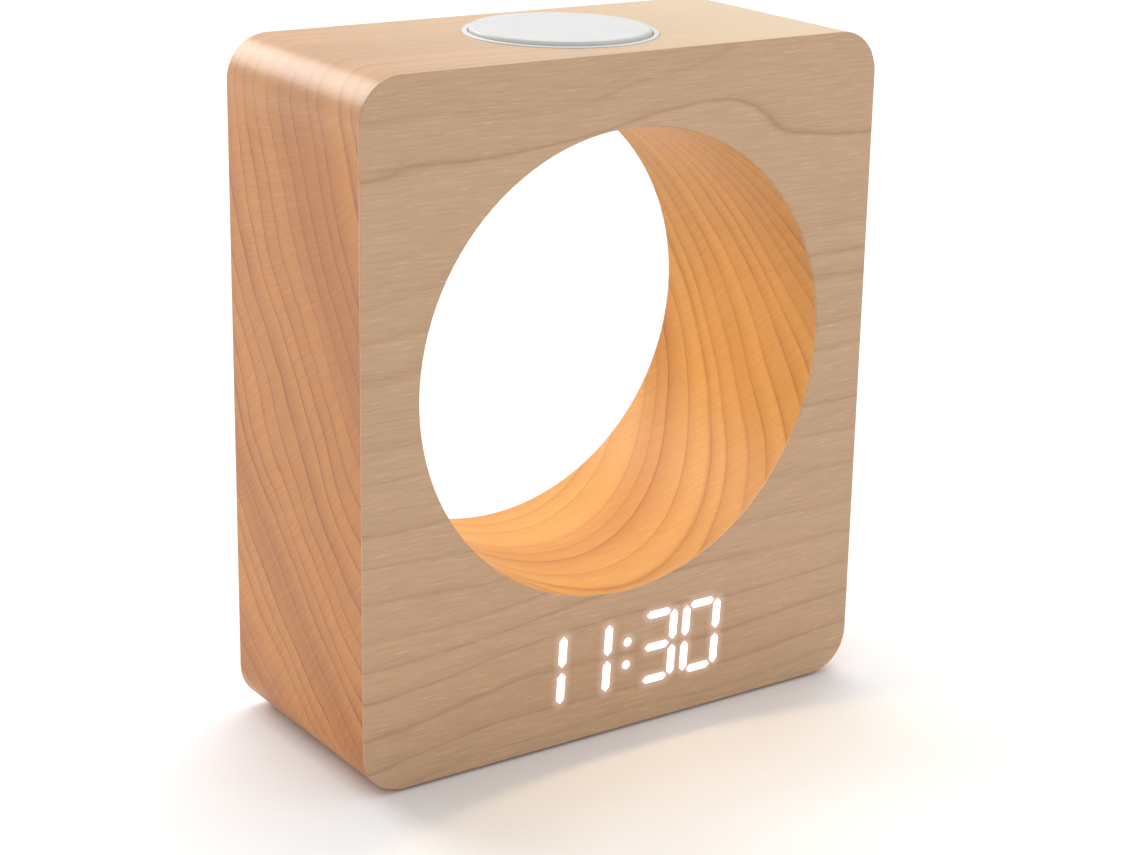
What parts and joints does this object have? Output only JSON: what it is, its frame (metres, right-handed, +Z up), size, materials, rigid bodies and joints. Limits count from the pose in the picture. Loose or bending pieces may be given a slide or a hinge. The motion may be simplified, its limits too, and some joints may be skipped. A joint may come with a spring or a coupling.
{
  "type": "alarm clock",
  "caption": "Wooden block bedside alarm clock with a large round through hole, lit digits behind the front veneer, a lamp in the hole and a round wireless charging pad on top.",
  "frame": {"origin": "on the table under the middle of the block, in the plane of the feet", "axes": "+Z up, -Y out of the front face with the digits, +X to the right of someone facing the digits"},
  "size_m": [0.15, 0.065, 0.1772],
  "materials": {
    "mdf_core": "raw fibreboard",
    "wood_wrap": "satin veneer",
    "wood_lining": "satin veneer",
    "wood_front": "satin veneer",
    "wood_rear": "satin veneer",
    "lath_wood": "sawn",
    "foot_rubber": "matt",
    "housing_plastic": "moulded",
    "segment_resin": "milky cast resin",
    "circuit_board": "solder resist",
    "led_package": "moulded",
    "chip_epoxy": "moulded epoxy",
    "zinc_steel": "zinc plated",
    "black_steel": "black oxide",
    "cover_plastic": "fine spark texture",
    "key_plastic": "satin",
    "plunger_plastic": "moulded",
    "switch_plastic": "moulded",
    "sounder_plastic": "moulded",
    "socket_steel": "nickel plated",
    "socket_plastic": "moulded",
    "gold_contact": "gold plated",
    "crystal_can": "drawn can",
    "capacitor_sleeve": "shrunk sleeve",
    "choke_ferrite": "pressed ferrite",
    "resistor_ceramic": "fired ceramic",
    "header_plastic": "moulded",
    "ribbon_vinyl": "extruded",
    "drawer_plastic": "moulded",
    "cell_steel": "stamped",
    "contact_nickel": "stamped",
    "pad_plastic": "fine texture",
    "rim_plastic": "moulded",
    "coil_copper": "enamelled litz wire",
    "ferrite": "fired ferrite",
    "lamp_diffuser": "milky, lit",
    "lamp_tray_plastic": "moulded",
    "strip_board": "white solder resist",
    "warm_led": "phosphor",
    "lead_vinyl_red": "extruded",
    "lead_vinyl_white": "extruded",
    "lead_vinyl_black": "extruded"
  },
  "bodies": {
    "case": {"body_core": "mdf_core", "side_wrap": "wood_wrap", "bore_lining": "wood_lining", "front_veneer": "wood_front", "rear_veneer": "wood_rear", "channel_lath": "lath_wood", "rubber_feet": "foot_rubber", "display_housing": "housing_plastic", "hour_tens_segments": "segment_resin", "hour_units_segments": "segment_resin", "minute_tens_segments": "segment_resin", "minute_units_segments": "segment_resin", "colon_segments": "segment_resin", "display_board": "circuit_board", "display_leds": "led_package", "display_driver_chip": "chip_epoxy", "display_screws": "zinc_steel", "rear_cover": "cover_plastic", "rear_cover_screws": "black_steel", "switch_bodies": "switch_plastic", "main_board": "circuit_board", "main_board_screws": "zinc_steel", "sounder": "sounder_plastic", "socket_shell": "socket_steel", "socket_insulator": "socket_plastic", "socket_contacts": "gold_contact", "controller_chip": "chip_epoxy", "clock_crystal": "crystal_can", "capacitors": "capacitor_sleeve", "choke": "choke_ferrite", "chip_resistors": "resistor_ceramic", "wire_headers": "header_plastic", "ribbon_headers": "header_plastic", "display_ribbon": "ribbon_vinyl", "cell_bay": "drawer_plastic", "cell_contacts": "contact_nickel", "charger_pad": "pad_plastic", "charger_cup": "rim_plastic", "charger_coil": "coil_copper", "ferrite_disc": "ferrite", "charger_board": "circuit_board", "charger_board_parts": "chip_epoxy", "charger_screws": "zinc_steel", "lamp_lens": "lamp_diffuser", "lamp_tray": "lamp_tray_plastic", "lamp_strip": "strip_board", "lamp_leds": "warm_led", "charger_leads": "lead_vinyl_red", "lamp_leads": "lead_vinyl_white", "cell_leads": "lead_vinyl_black"},
    "light_button": {"light_key": "key_plastic", "light_switch_plunger": "plunger_plastic"},
    "up_button": {"up_key": "key_plastic", "up_switch_plunger": "plunger_plastic"},
    "down_button": {"down_key": "key_plastic", "down_switch_plunger": "plunger_plastic"},
    "set_button": {"set_key": "key_plastic", "set_switch_plunger": "plunger_plastic"},
    "drawer": {"cell_tray": "cover_plastic", "coin_cell": "cell_steel"}
  },
  "joints": [
    {"name": "light_press", "type": "slide", "parent": "case", "child": "light_button", "axis": [0, -1, 0], "range_m": [0, 0.0005], "stiffness_N_per_m": 1500, "springref_m": -0.0004},
    {"name": "up_press", "type": "slide", "parent": "case", "child": "up_button", "axis": [0, -1, 0], "range_m": [0, 0.0005], "stiffness_N_per_m": 1500, "springref_m": -0.0004},
    {"name": "down_press", "type": "slide", "parent": "case", "child": "down_button", "axis": [0, -1, 0], "range_m": [0, 0.0005], "stiffness_N_per_m": 1500, "springref_m": -0.0004},
    {"name": "set_press", "type": "slide", "parent": "case", "child": "set_button", "axis": [0, -1, 0], "range_m": [0, 0.0005], "stiffness_N_per_m": 1500, "springref_m": -0.0004},
    {"name": "drawer_slide", "type": "slide", "parent": "case", "child": "drawer", "axis": [0, 1, 0], "range_m": [0, 0.024]}
  ]
}
